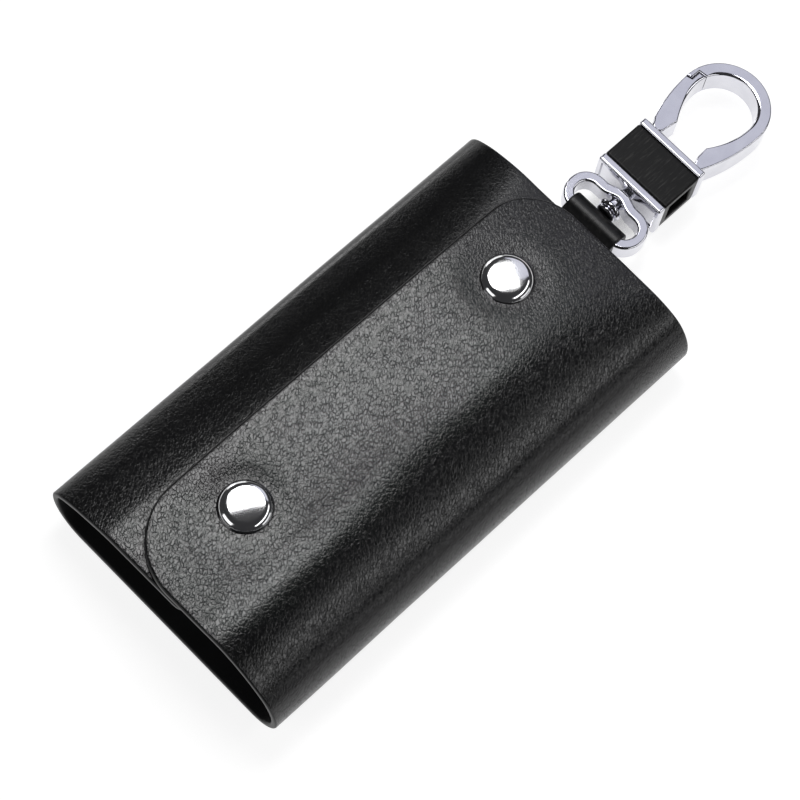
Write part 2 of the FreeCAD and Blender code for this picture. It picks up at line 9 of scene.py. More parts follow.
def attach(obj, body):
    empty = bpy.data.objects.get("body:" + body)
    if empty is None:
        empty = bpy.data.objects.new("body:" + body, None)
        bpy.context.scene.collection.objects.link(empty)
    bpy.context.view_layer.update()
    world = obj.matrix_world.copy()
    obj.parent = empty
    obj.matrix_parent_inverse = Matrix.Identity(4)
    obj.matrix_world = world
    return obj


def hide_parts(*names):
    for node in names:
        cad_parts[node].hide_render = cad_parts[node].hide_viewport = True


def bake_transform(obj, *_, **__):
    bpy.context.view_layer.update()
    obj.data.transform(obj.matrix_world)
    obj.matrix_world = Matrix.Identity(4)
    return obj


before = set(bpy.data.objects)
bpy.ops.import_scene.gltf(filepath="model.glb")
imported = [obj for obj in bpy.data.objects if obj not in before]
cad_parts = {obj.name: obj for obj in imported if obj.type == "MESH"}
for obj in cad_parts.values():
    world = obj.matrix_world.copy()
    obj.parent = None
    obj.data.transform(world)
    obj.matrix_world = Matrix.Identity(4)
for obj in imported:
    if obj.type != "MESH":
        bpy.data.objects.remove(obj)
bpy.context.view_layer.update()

scene = bpy.context.scene
mm = 0.001
hideScale = 0.01  # the hide's flat map, per millimetre
white = (1.0, 1.0, 1.0)


# one socket of a node tree, with arithmetic
class Wire:
    def __init__(self, finish, socket):
        self.finish = finish
        self.socket = socket

    def maths(self, operation, first, second):
        return self.finish.node("ShaderNodeMath", {"operation": operation}, {0: first, 1: second})

    def __add__(self, other):
        return self.maths("ADD", self, other)

    def __radd__(self, other):
        return self.maths("ADD", other, self)

    def __sub__(self, other):
        return self.maths("SUBTRACT", self, other)

    def __rsub__(self, other):
        return self.maths("SUBTRACT", other, self)

    def __mul__(self, other):
        return self.maths("MULTIPLY", self, other)

    def __rmul__(self, other):
        return self.maths("MULTIPLY", other, self)

    # 0 below low, 1 above high, a soft step between
    def step(self, low, high):
        links = {"Value": self, "From Min": low, "From Max": high}
        return self.finish.node("ShaderNodeMapRange", {"interpolation_type": "SMOOTHSTEP"}, links)


# a material and the one way its nodes are made
class Finish:
    dull = {"Base Color": (0.003, 0.003, 0.0032, 1.0), "Roughness": 0.7, "Specular IOR Level": 0.12}

    def __init__(self, name):
        self.material = bpy.data.materials.new(name)
        self.material.use_nodes = True
        self.tree = self.material.node_tree
        self.tree.nodes.clear()

    def node(self, kind, settings=None, links=None, out=0):
        made = self.tree.nodes.new(kind)
        for key, value in (settings or {}).items():
            setattr(made, key, value)
        for key, value in (links or {}).items():
            socket = made.inputs[key]
            if isinstance(value, Wire):
                self.tree.links.new(value.socket, socket)
            else:
                socket.default_value = value
        return Wire(self, made.outputs[out]) if made.outputs else None

    # the place on the piece itself, in metres
    def inSpace(self):
        return self.node("ShaderNodeTexCoord", out="Object")

    # the place on the flat hide, in millimetres
    def onHide(self):
        flat = self.node("ShaderNodeUVMap", {"uv_map": "sheet"})
        return self.node("ShaderNodeMapping", {}, {"Vector": flat, "Scale": (1 / hideScale,) * 3})

    def clouds(self, spot, scale, detail, rough=0.5, flat=False, out=0):
        return self.node("ShaderNodeTexNoise", {"noise_dimensions": "2D" if flat else "3D"},
                         {"Vector": spot, "Scale": scale, "Detail": detail, "Roughness": rough}, out)

    # two colours by a factor
    def tint(self, factor, low, high):
        return self.node("ShaderNodeMix", {"data_type": "RGBA"}, {0: factor, 6: (*low, 1.0), 7: (*high, 1.0)}, 2)

    # the finished shader; where the mix factor is high, a dull dark one shows in its place, in the grain's dull grooves
    # and as painted shade
    def close(self, links, bump=None, dullGroovesAndShade=None):
        if bump:
            links["Normal"] = self.node("ShaderNodeBump", {}, bump)
        shader = self.node("ShaderNodeBsdfPrincipled", {}, links)
        if dullGroovesAndShade:
            dull = self.node("ShaderNodeBsdfPrincipled", {}, self.dull)
            shader = self.node("ShaderNodeMixShader", {}, {0: dullGroovesAndShade, 1: shader, 2: dull})
        self.node("ShaderNodeOutputMaterial", {}, {"Surface": shader})
        return self.material


def newPiece(name, data):
    piece = bpy.data.objects.new(name, data)
    scene.collection.objects.link(piece)
    return piece


def standAt(piece, axes, spot):
    place = Matrix(axes).transposed().to_4x4()
    place.translation = spot
    piece.matrix_world = place


# camera: the photograph's place and lens, turned a little about its own axis
view = {
    "lens": 135.0, "film": 36.0, "clip": (0.01, 20.0), "target": (8.965, 1.935, 0.0), "distance": 576.08,
    "height": 66.7, "bearing": 212.84, "roll": 13.66,
}


def placeCamera():
    height, bearing, roll = (math.radians(view[key]) for key in ("height", "bearing", "roll"))
    back = Vector((math.cos(bearing) * math.cos(height), math.sin(bearing) * math.cos(height), math.sin(height)))
    right = (-back).cross(Vector((0, 0, 1))).normalized()
    up = right.cross(-back)
    across = right * math.cos(roll) + up * math.sin(roll)
    upward = up * math.cos(roll) - right * math.sin(roll)
    data = bpy.data.cameras.new("photoCamera")
    data.lens, data.sensor_width = view["lens"], view["film"]
    data.clip_start, data.clip_end = view["clip"]
    camera = newPiece("photoCamera", data)
    standAt(camera, (across, upward, back), (Vector(view["target"]) + back * view["distance"]) * mm)
    scene.camera = camera
    return across, back


across, back = placeCamera()
scene.view_settings.view_transform = "Standard"
print("camera set")


# studio: a large soft box beyond the case, a dim card beside it, five low cards and a pale floor whose emission fades
# where something stands close above it, a painted contact shadow
# main box and side card: reaches in millimetres on a plane square to the mirrored view, turned as in the photograph
# low cards: centre, aim and size in metres, then brightness
studio = {
    "aim": (0.0, 0.0, 12.0), "distance": 420.0, "turn": 17.0,
    "mainBright": 8.0, "mainSide": (-150.0, 60.0), "mainRise": (-42.0, 94.0),
    "cardBright": 0.77, "cardSide": (69.0, 330.0), "cardRise": (-6.0, 260.0), "cardTint": (0.88, 0.89, 1.0),
    "lowCards": (("nearStrip", (0.161, -0.310, 0.365), (0.0, -0.024, 0.015), (0.60, 0.085), 2.9),
                 ("leftCard", (-0.37, 0.107, 0.22), (0.04, 0.0, 0.01), (0.26, 0.18), 1.6),
                 ("rightCard", (0.22, -0.43, 0.13), (0.02, 0.0, 0.01), (0.34, 0.12), 1.1),
                 ("backCard", (0.28, 0.56, 0.11), (0.02, 0.0, 0.01), (0.40, 0.18), 1.2),
                 ("backSpot", (0.221, 0.59, 0.10), (0.022, 0.028, 0.012), (0.075, 0.12), 4.0)),
    "world": 0.04, "worldTint": (0.95, 0.96, 1.0, 1.0),
    "floorLevel": -0.0018, "floorReach": 3.0, "floorGlow": 0.86, "shadowReach": 0.012, "shadowSpan": (0.08, 0.38),
}


def softBox(name, centre, towards, size, bright, colour, lean):
    light = bpy.data.lights.new(name, "AREA")
    light.shape = "RECTANGLE"
    light.size, light.size_y = size
    light.energy = bright * math.pi * size[0] * size[1]
    light.color = colour
    lamp = newPiece(name, light)
    facing = (centre - towards).normalized()
    side = (lean - facing * lean.dot(facing)).normalized()
    standAt(lamp, (side, facing.cross(side), facing), centre)
    lamp.visible_camera = False


# a box seen in the flat top as a mirror: its reach to the side of the straight reflection and beyond it
def mirroredBox(name, sideReach, riseReach, bright, colour):
    mirror = Vector((-back.x, -back.y, back.z)).normalized()
    level = Vector((across.x, across.y, 0)).normalized()
    level = (level - mirror * level.dot(mirror)).normalized()
    beyond = mirror.cross(level).normalized()
    turn = math.radians(studio["turn"])
    sideways = level * math.cos(turn) + beyond * math.sin(turn)
    rise = beyond * math.cos(turn) - level * math.sin(turn)
    centre = Vector(studio["aim"]) + mirror * studio["distance"]
    centre = centre + sideways * sum(sideReach) / 2 + rise * sum(riseReach) / 2
    size = [(high - low) * mm for low, high in (sideReach, riseReach)]
    softBox(name, centre * mm, (centre - mirror) * mm, size, bright, colour, sideways)


def lightStudio():
    mirroredBox("mainBox", studio["mainSide"], studio["mainRise"], studio["mainBright"], white)
    mirroredBox("sideCard", studio["cardSide"], studio["cardRise"], studio["cardBright"], studio["cardTint"])
    for name, centre, towards, size, bright in studio["lowCards"]:
        centre, towards = Vector(centre), Vector(towards)
        softBox(name, centre, towards, size, bright, white, Vector((0, 0, 1)).cross(towards - centre))
    world = bpy.data.worlds.new("studioWorld")
    world.use_nodes = True
    sky = world.node_tree.nodes["Background"].inputs
    sky["Color"].default_value = studio["worldTint"]
    sky["Strength"].default_value = studio["world"]
    scene.world = world


def layFloor():
    finish = Finish("paleFloor")
    speck = finish.clouds(finish.inSpace(), 9.0, 2.0)
    shade = finish.tint(speck.step(0.3, 0.7), (0.33, 0.33, 0.33), (0.36, 0.36, 0.36))
    # painted contact shadow: the floor's emission colour turns dark grey where ambient occlusion finds something close
    # above
    nearby = finish.node("ShaderNodeAmbientOcclusion", {"samples": 8}, {"Distance": studio["shadowReach"]}, "AO")
    glowWithPaintedShadow = finish.tint(nearby.step(*studio["shadowSpan"]), (0.12, 0.12, 0.13), white)
    finish.close({"Base Color": shade, "Roughness": 0.9, "Specular IOR Level": 0.0,
                  "Emission Color": glowWithPaintedShadow, "Emission Strength": studio["floorGlow"]})
    mesh = bpy.data.meshes.new("floor")
    reach = studio["floorReach"]
    corners = [(a * reach, b * reach, 0) for a, b in ((-1, -1), (1, -1), (1, 1), (-1, 1))]
    mesh.from_pydata(corners, [], [(0, 1, 2, 3)])
    mesh.materials.append(finish.material)
    floor = newPiece("floor", mesh)
    floor.location.z = studio["floorLevel"]


lightStudio()
layFloor()
print("studio lit")


# finishes
grain = {
    "slant": -0.785, "pebble": (1.45, 0.85, 1.0), "cells": 1.35, "wander": 0.7, "groove": 0.24, "worm": 0.006,
    "crease": (0.02, 0.12), "bump": 1.0, "depth": 0.00003,
    "lap": (0.35, 0.85), "lapPaintAndShadeCover": 0.9, "foldRun": (106.0, 116.0), "foldAlong": (-45.0, 0.0), "stretch": 0.55,
}


def pebbleLeather():
    # long pebbles slanted over the hide, with worm-like grooves of uneven depth
    finish = Finish("pebbleLeather")
    spot = finish.onHide()
    slant = (0.0, 0.0, grain["slant"])
    slanted = finish.node("ShaderNodeMapping", {"vector_type": "TEXTURE"},
                          {"Vector": spot, "Rotation": slant, "Scale": grain["pebble"]})
    wander = finish.clouds(slanted, 1.1, 2.0, flat=True, out="Color")
    wander = finish.node("ShaderNodeVectorMath", {"operation": "SCALE"}, {0: wander, "Scale": grain["wander"]})
    bent = finish.node("ShaderNodeVectorMath", {"operation": "ADD"}, {0: slanted, 1: wander})
    cells = finish.node("ShaderNodeTexVoronoi", {"voronoi_dimensions": "2D", "feature": "DISTANCE_TO_EDGE"},
                        {"Vector": bent, "Scale": grain["cells"]}, "Distance")
    worm = finish.clouds(bent, 1.3, 1.0, flat=True)
    fine = finish.clouds(spot, 3.6, 2.0, flat=True)
    broad = finish.clouds(spot, 0.16, 2.0, flat=True)
    uneven = finish.clouds(spot, 0.7, 1.0, flat=True).step(0.3, 0.65)
    ridge = ((worm - 0.5) * (worm - 0.5)).step(0.0, grain["worm"])
    pebble = 1.0 - (1.0 - cells.step(0.0, grain["groove"])) * (uneven * 0.6 + 0.4)
    # the grain is stretched smoother over the panel's fold, and a dark band of lapped edge paint and painted shade runs
    # along the flap's long edge
    along, run = (finish.node("ShaderNodeSeparateXYZ", {}, {"Vector": spot}, axis) for axis in "XY")
    taut = run.step(*grain["foldRun"]) * along.step(*grain["foldAlong"]) * grain["stretch"]
    # painted: edge paint that laps over the flap's long edge, together with painted shade for the shadow line below it
    painted = 1.0 - run.step(*grain["lap"])
    height = (pebble * 0.62 + ridge * 0.38 + fine * 0.2) * (1.0 - taut)
    shade = finish.tint(pebble * ridge, (0.002, 0.002, 0.0022), (0.005, 0.005, 0.0054))
    rough = 0.25 - pebble * ridge * 0.08 + (broad - 0.5) * 0.04
    crease = (1.0 - cells.step(*grain["crease"])) * (uneven * 0.4 + 0.08) * (1.0 - taut)
    # the dull dark shader shows in the creases and, as painted shade, over the band along the flap's edge
    dullGroovesAndShade = crease * (1.0 - painted) + painted * grain["lapPaintAndShadeCover"]
    return finish.close({"Base Color": shade, "Roughness": rough, "Specular IOR Level": 0.5},
                        {"Height": height, "Strength": grain["bump"], "Distance": grain["depth"]}, dullGroovesAndShade)


def liningLeather():
    finish = Finish("liningLeather")
    spot = finish.onHide()
    nap = finish.clouds(spot, 2.6, 4.0, flat=True)
    broad = finish.clouds(spot, 0.09, 2.0, flat=True)
    shade = finish.tint(nap * 0.6 + broad * 0.4, (0.006, 0.006, 0.0065), (0.022, 0.022, 0.0232))
    return finish.close({"Base Color": shade, "Roughness": 0.62 + nap * 0.2, "Specular IOR Level": 0.3},
                        {"Height": nap, "Strength": 0.4, "Distance": 0.00008})


def edgePaint():
    finish = Finish("edgePaint")
    wear = finish.clouds(finish.inSpace(), 900.0, 3.0)
    shade = finish.tint(wear.step(0.35, 0.75), (0.006, 0.006, 0.0065), (0.014, 0.014, 0.0145))
    return finish.close({"Base Color": shade, "Roughness": 0.34 + wear * 0.14, "Specular IOR Level": 0.3},
                        {"Height": wear, "Strength": 0.25, "Distance": 0.00005})


def smoothLeather(name, along, scuff, sheen):
    # smooth black leather with fine scratches; scuffs show where it is rubbed
    finish = Finish(name)
    spot = finish.inSpace()
    strokes = finish.node("ShaderNodeMapping", {}, {"Vector": spot, "Rotation": (0.0, 0.0, 0.35), "Scale": along})
    scratch = finish.clouds(strokes, 1.0, 4.0, rough=0.7)
    pores = finish.clouds(spot, 1500.0, 3.0)
    rubbed = scratch.step(0.5, 0.78)
    shade = finish.tint(rubbed * scuff, (0.003, 0.003, 0.0032), (0.10, 0.096, 0.09))
    rough = 0.3 + pores * 0.14 - rubbed * 0.06
    return finish.close({"Base Color": shade, "Roughness": rough, "Specular IOR Level": sheen},
                        {"Height": scratch * 0.7 + pores * 0.4, "Strength": 0.5, "Distance": 0.00004})


def polishedMetal(name, light, dark, rough, scuff):
    # a faint haze and hairline scratches
    finish = Finish(name)
    spot = finish.inSpace()
    haze = finish.clouds(spot, 260.0, 3.0)
    strokes = finish.node("ShaderNodeMapping", {},
                          {"Vector": spot, "Rotation": (0.3, 0.2, 0.5), "Scale": (2600.0, 240.0, 240.0)})
    hair = finish.clouds(strokes, 1.0, 2.0)
    shade = finish.tint(haze.step(0.3, 0.7), dark, light)
    gloss = rough + haze * scuff * 0.6 + hair.step(0.62, 0.8) * scuff
    return finish.close({"Base Color": shade, "Metallic": 1.0, "Roughness": gloss},
                        {"Height": hair, "Strength": 0.03, "Distance": 0.00002})


looks = {
    "pebble": pebbleLeather(),
    "lining": liningLeather(),
    "edge": edgePaint(),
    "tab": smoothLeather("tabLeather", (500.0, 1600.0, 1600.0), 0.25, 0.36),
    "wrap": smoothLeather("wrapLeather", (300.0, 2600.0, 2600.0), 0.4, 0.17),
    "clasp": polishedMetal("claspChrome", (0.72, 0.72, 0.765), (0.67, 0.67, 0.72), 0.06, 0.06),
    "snap": polishedMetal("snapChrome", (0.82, 0.82, 0.83), (0.74, 0.74, 0.76), 0.09, 0.06),
    "rail": polishedMetal("railSteel", (0.70, 0.70, 0.71), (0.60, 0.60, 0.62), 0.16, 0.12),
    "spring": polishedMetal("springSteel", (0.56, 0.56, 0.58), (0.46, 0.46, 0.49), 0.24, 0.16),
}
print("finishes made:", len(looks))


# the leather sheet: flap, its fold, the back, the other fold and the inner panel, all one strip of hide
sheet = {
    "length": 110.0, "width": 60.0, "thickness": 1.4, "edgeRound": 0.42, "roundSteps": 4,
    "columns": 112, "endColumn": 0.003,
    "flapLow": 6.0, "flapHigh": 9.5, "flapTurn": 152.0, "flapCrown": 32.0, "flapEdge": 14.3, "flapSettled": -4.0,
    "mouthCorner": 15.0, "claspCorner": 11.5,
    "panelLow": 8.0, "panelHigh": 5.5, "panelTurn": 146.0, "panelEdge": -6.0, "panelCorner": 3.5, "lapGap": 0.3,
    "snaps": ((-33.1, 1.8), (35.1, 1.8)), "capRadius": 5.4,
    "dimple": 0.22, "dimpleSoft": 2.8, "wave": 0.07, "waveAlong": 0.045, "waveAcross": 0.075, "waveSeed": 3.7,
    "flapRun": 80.0, "unrolled": 2.0, "unrollEnd": 173.0,
}

# how the closed top settles: amounts in millimetres, and the spans along or across the case where each sets in
sag = {
    "middle": 4.0, "reach": 50.0, "height": (8.0, 15.0),
    "droop": 2.1, "droopFrom": 16.0, "droopAcross": (12.0, 27.0),
    "tilt": 0.8, "tiltAlong": (16.0, 48.0), "tiltAcross": (-14.0, 14.0), "tiltFade": (16.0, 26.0),
    "flap": 0.25, "flapAcross": (2.0, 18.0),
    "flare": 0.55, "flareAlong": (-6.0, 34.0), "flareAcross": (9.0, 17.0), "flareFade": (18.0, 28.0),
    "panel": 1.6, "panelAcross": (8.0, 20.0), "end": 1.0, "endAcross": (13.0, 23.0),
}


# the two folds: each arc as the y and z of its centre and its radius, on the outside of the hide
def foldArcs():
    tip = sheet["width"] / 2
    folds = []
    for side, name in ((-1, "flap"), (1, "panel")):
        low, high = sheet[name + "Low"], sheet[name + "High"]
        folds.append({"side": side, "turn": sheet[name + "Turn"],
                      "low": (tip - low, low, low), "high": (tip - high, low, high)})
    flap, panel = folds
    y, z, radius = flap["high"]
    turn, shift = math.radians(flap["turn"]), radius - sheet["flapCrown"]
    flap["crown"] = (y + shift * math.sin(turn), z - shift * math.cos(turn), sheet["flapCrown"])
    flap["top"] = flap["crown"][1] + sheet["flapCrown"]
    y, z, radius = panel["high"]
    turn = math.radians(panel["turn"])
    panel["top"] = flap["top"] - sheet["thickness"] - sheet["lapGap"]
    crown = (panel["top"] - (z - radius * math.cos(turn))) / (1 + math.cos(turn))
    panel["crown"] = (y + (radius - crown) * math.sin(turn), panel["top"] - crown, crown)
    return flap, panel


def sheetRows(inset):
    # each row: left x, left y, right x, right y, height, normal y, normal z, run along the hide at both ends
    flap, panel = foldArcs()
    half = sheet["length"] / 2 - inset
    rows, cuts = [], [0]
    start, edge, settled = sheet["flapEdge"], sheet["flapEdge"] - inset, sheet["flapSettled"]
    near, far = sheet["mouthCorner"] - inset, sheet["claspCorner"] - inset

    def flat(leftX, leftY, rightX, rightY, height, runs):
        rows.append((leftX, leftY, rightX, rightY, height, 0.0, 1.0, runs[0], runs[1]))

    for a in np.radians(np.linspace(0, 90, 21)):
        y0, y1 = edge - near * (1 - math.cos(a)), edge - far * (1 - math.cos(a))
        leftX, rightX = -half + near * (1 - math.sin(a)), half - far * (1 - math.sin(a))
        flat(leftX, y0, rightX, y1, flap["top"], (start - y0, start - y1))
    for t in np.linspace(0, 1, 5)[1:]:
        y0, y1 = edge - near + (settled - edge + near) * t, edge - far + (settled - edge + far) * t
        flat(-half, y0, half, y1, flap["top"], (start - y0, start - y1))
    for y in np.linspace(settled, -flap["crown"][0], 8)[1:]:
        flat(-half, y, half, y, flap["top"], (start - y,) * 2)
    run = start + flap["crown"][0]

    def arc(fold, part, begin, end, steps):
        nonlocal run
        side, (middle, level, radius) = fold["side"], fold[part]
        for a in np.radians(np.linspace(begin, end, steps + 1))[1:]:
            run += radius * math.radians(abs(end - begin)) / steps
            y, z = side * (middle + radius * math.sin(a)), level - radius * math.cos(a)
            rows.append((-half, y, half, y, z, side * math.sin(a), -math.cos(a), run, run))

    def cut():
        cuts.append(len(rows) - 1)

    arc(flap, "crown", 180, flap["turn"], 18)
    cut()
    arc(flap, "high", flap["turn"], 90, 24)
    arc(flap, "low", 90, flap["turn"] / 2, 5)
    cut()
    arc(flap, "low", flap["turn"] / 2, 0, 26)
    for begin, end in ((-flap["low"][0], 0.0), (0.0, panel["low"][0])):
        for y in np.linspace(begin, end, 24)[1:]:
            rows.append((-half, y, half, y, 0.0, 0.0, -1.0, run + y - begin, run + y - begin))
        run += end - begin
        if end == 0.0:
            cut()
    arc(panel, "low", 0, panel["turn"] / 2, 26)
    cut()
    arc(panel, "low", panel["turn"] / 2, 90, 5)
    arc(panel, "high", 90, panel["turn"], 22)
    cut()
    arc(panel, "crown", panel["turn"], 180, 20)
    corner, last, crownY = sheet["panelCorner"] - inset, sheet["panelEdge"] + inset, panel["crown"][0]
    for y in np.linspace(crownY, last + corner, 13)[1:]:
        flat(-half, y, half, y, panel["top"], (run + crownY - y,) * 2)
    for a in np.radians(np.linspace(90, 0, 9))[1:]:
        y = last + corner * (1 - math.cos(a))
        x = half - corner * (1 - math.sin(a))
        flat(-x, y, x, y, panel["top"], (run + crownY - y,) * 2)
    cut()
    return rows, cuts


def ease(value, start, end):
    t = min(1.0, max(0.0, (value - start) / (end - start)))
    return t * t * (3 - 2 * t)


def softness(x, y, level, run):
    # how far the outer face sinks: dimples at the snaps and slow waves of the hide
    spot = Vector((x * sheet["waveAlong"], run * sheet["waveAcross"], sheet["waveSeed"]))
    sink = sheet["wave"] * noise.noise(spot)
    if level and run < sheet["flapRun"]:
        for snapX, snapY in sheet["snaps"]:
            away = math.hypot(x - snapX, y - snapY)
            sink += sheet["dimple"] * math.exp(-((away - sheet["capRadius"]) / sheet["dimpleSoft"]) ** 2)
    return sink


def settling(x, y, z, run):
    # rounder in the middle, lower at the clasp and flatter at the mouth, through the whole thickness
    middle = max(0.0, 1.0 - (abs(x - sag["middle"]) / sag["reach"]) ** 2)
    past = max(0.0, x - sag["droopFrom"]) / (sheet["length"] / 2 - sag["droopFrom"])
    low = sag["droop"] * past * past * (1.0 - ease(abs(y), *sag["droopAcross"]))
    start, end = sag["tiltAcross"]
    slope = min(1.0, max(0.0, (y - start) / (end - start))) * (1.0 - ease(y, *sag["tiltFade"]))
    low += sag["tilt"] * ease(-x, *sag["tiltAlong"]) * slope
    if run < sheet["flapRun"]:
        low += sag["flap"] * middle * ease(-y, *sag["flapAcross"])
        flare = sag["flare"] * ease(-x, *sag["flareAlong"]) * ease(-y, *sag["flareAcross"])
        low -= flare * (1.0 - ease(-y, *sag["flareFade"]))
    else:
        ends = sag["end"] * (1.0 - middle) * ease(y, *sag["endAcross"])
        low += sag["panel"] * middle * ease(y, *sag["panelAcross"]) + ends
    return low * ease(z, *sag["height"])


def sheetPoints():
    depth, bend = sheet["thickness"], sheet["edgeRound"]
    turns = np.linspace(0, math.pi / 2, sheet["roundSteps"] + 1)
    profile = [(bend * (1 - math.sin(a)), bend * (1 - math.cos(a))) for a in turns]
    profile += [(inset, depth - h) for inset, h in reversed(profile)]
    layers = [sheetRows(inset)[0] for inset, h in profile]
    cuts = sheetRows(0.0)[1]
    inner, margin = np.linspace(0, 1, sheet["columns"] + 1)[1:-1], sheet["endColumn"]
    fractions = np.concatenate(([0.0, margin], inner, [1 - margin, 1.0]))
    points, flats, index = [], [], {}

    def put(k, i, j):
        if (k, i, j) in index:
            return index[k, i, j]
        leftX, leftY, rightX, rightY, z, ny, nz, runLeft, runRight = layers[k][i]
        t = fractions[j]
        x, y = leftX + (rightX - leftX) * t, leftY + (rightY - leftY) * t
        run = runLeft + (runRight - runLeft) * t
        h = profile[k][1]
        if k == 0:
            h += softness(x, y, nz > 0.99, run)
        points.append((x, y - ny * h, z - nz * h - settling(x, y, z, run)))
        flats.append((x, run))
        index[k, i, j] = len(points) - 1
        return index[k, i, j]

    return put, points, flats, cuts, len(fractions), len(profile) - 1


# faces between two rows, with the number of each one's finish: 0 grain, 1 lining, 2 painted edge
def sheetFaces(put, first, end, lastRow, columns, last):
    faces, kinds = [], []
    right = columns - 1
    for i in range(first, end):
        for j in range(right):
            faces.append((put(0, i, j), put(0, i + 1, j), put(0, i + 1, j + 1), put(0, i, j + 1)))
            faces.append((put(last, i, j), put(last, i, j + 1), put(last, i + 1, j + 1), put(last, i + 1, j)))
            kinds += [0, 1]
        for k in range(last):
            faces.append((put(k, i, 0), put(k + 1, i, 0), put(k + 1, i + 1, 0), put(k, i + 1, 0)))
            faces.append((put(k, i, right), put(k, i + 1, right), put(k + 1, i + 1, right), put(k + 1, i, right)))
            kinds += [0 if k == 0 else 2] * 2
    for i, way in ((0, 1), (lastRow, -1)):
        if i in (first, end):
            for j in range(right):
                for k in range(last):
                    quad = (put(k, i, j), put(k, i, j + 1), put(k + 1, i, j + 1), put(k + 1, i, j))
                    faces.append(quad[::way])
                    kinds.append(0 if k == 0 else 2)
    return faces, kinds


def cutFace(put, i, columns, last, way):
    loop = [put(0, i, j) for j in range(columns)]
    loop += [put(k, i, columns - 1) for k in range(1, last)]
    loop += [put(last, i, j) for j in reversed(range(columns))]
    loop += [put(k, i, 0) for k in reversed(range(1, last))]
    return loop[::way]


def inMetres(points):
    return [tuple(c * mm for c in p) for p in points]


# six pieces that take their normals from the whole sheet, so that no seam shows
def makeSheet():
    put, points, flats, cuts, columns, last = sheetPoints()
    lastRow = cuts[-1]
    wholeFaces = sheetFaces(put, 0, lastRow, lastRow, columns, last)[0]
    whole = bpy.data.meshes.new("wholeSheet")
    whole.from_pydata(inMetres(points), [], wholeFaces)
    whole.update()
    normals = np.zeros(len(whole.vertices) * 3, np.float32)
    whole.vertex_normals.foreach_get("vector", normals)
    normals = normals.reshape(-1, 3)
    skins = (("flapSkin", "flap"), ("flapFoldSkin", "flap_fold_2"), ("backFlapSkin", "flap_fold_1"),
             ("backPanelSkin", "panel_fold_1"), ("panelFoldSkin", "panel_fold_2"), ("panelSkin", "inner_panel"))
    made = {}
    for (name, node), first, end in zip(skins, cuts, cuts[1:]):
        faces, kinds = sheetFaces(put, first, end, lastRow, columns, last)
        ends = []
        if first > 0:
            ends.append(cutFace(put, first, columns, last, 1))
        if end < lastRow:
            ends.append(cutFace(put, end, columns, last, -1))
        used = sorted({v for face in faces for v in face})
        fresh = {v: n for n, v in enumerate(used)}
        mesh = bpy.data.meshes.new(name)
        renumbered = [tuple(fresh[v] for v in face) for face in faces + ends]
        mesh.from_pydata(inMetres(points[v] for v in used), [], renumbered)
        mesh.update()
        for look in ("pebble", "lining", "edge"):
            mesh.materials.append(looks[look])
        mesh.polygons.foreach_set("material_index", np.array(kinds + [2] * len(ends), np.int32))
        mesh.polygons.foreach_set("use_smooth", np.ones(len(mesh.polygons), bool))
        layer = mesh.uv_layers.new(name="sheet")
        spread = [[c * hideScale for c in flats[v]] for face in faces + ends for v in face]
        layer.data.foreach_set("uv", np.array(spread, np.float32).ravel())
        cornerNormals = [normals[v] for face in faces for v in face]
        for face, polygon in zip(ends, list(mesh.polygons)[len(faces):]):
            cornerNormals += [np.array(polygon.normal)] * len(face)
        mesh.normals_split_custom_set([tuple(n) for n in cornerNormals])
        made[name] = newPiece(name, mesh)
        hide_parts(node)
    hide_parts("back_panel")
    bpy.data.meshes.remove(whole)
    return made


# a heading on a fold, on the middle of the hide's thickness
def onFold(fold, heading):
    part = "low" if heading <= 90 else ("high" if heading <= fold["turn"] else "crown")
    y, z, radius = fold[part]
    radius -= sheet["thickness"] / 2
    a = math.radians(heading)
    return (0.0, fold["side"] * (y + radius * math.sin(a)) * mm, (z - radius * math.cos(a)) * mm)


# each stretch of hide is fixed where it lies; the fold nodes it hangs between and the ends of its stretch on the fold
# are passed along, but nothing reads them
def hangSheet(made):
    chains = (("case", "flap_fold_1", "flap_fold_2", "flap"), ("case", "panel_fold_1", "panel_fold_2", "inner_panel"))
    skins = (("backFlapSkin", "flapFoldSkin", "flapSkin"), ("backPanelSkin", "panelFoldSkin", "panelSkin"))
    short = sheet["unrolled"]
    for fold, chain, names in zip(foldArcs(), chains, skins):
        turn = fold["turn"]
        stretches = ((0.0, turn / 2 - short), (turn / 2 + short, turn - short), (turn + short, sheet["unrollEnd"]))
        for name, before, after, (start, end) in zip(names, chain, chain[1:], stretches):
            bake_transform(made[name], before, after, onFold(fold, start), onFold(fold, end))


hide = makeSheet()
hangSheet(hide)
print("leather sheet:", sum(len(piece.data.polygons) for piece in hide.values()), "faces")


# shared ways of making hard pieces, all sizes in millimetres
def finishMesh(name, points, faces, look, sharp=32.0):
    mesh = bpy.data.meshes.new(name)
    mesh.from_pydata(inMetres(points), [], faces)
    work = bmesh.new()
    work.from_mesh(mesh)
    bmesh.ops.remove_doubles(work, verts=work.verts, dist=1e-7)
    bmesh.ops.recalc_face_normals(work, faces=work.faces)
    work.to_mesh(mesh)
    work.free()
    mesh.polygons.foreach_set("use_smooth", np.ones(len(mesh.polygons), bool))
    mesh.set_sharp_from_angle(angle=math.radians(sharp))
    mesh.materials.append(looks[look])
    return mesh


def joinMeshes(name, meshes):
    whole = bmesh.new()
    for mesh in meshes:
        whole.from_mesh(mesh)
    joined = bpy.data.meshes.new(name)
    whole.to_mesh(joined)
    whole.free()
    for material in meshes[0].materials:
        joined.materials.append(material)
    for mesh in meshes:
        bpy.data.meshes.remove(mesh)
    return joined


# rings of points joined one to the next, and the last to the first where closed
def ringFaces(rings, size, closed):
    faces = []
    for k in range(rings if closed else rings - 1):
        for i in range(size):
            m, j = (k + 1) % rings, (i + 1) % size
            faces.append((k * size + i, m * size + i, m * size + j, k * size + j))
    return faces


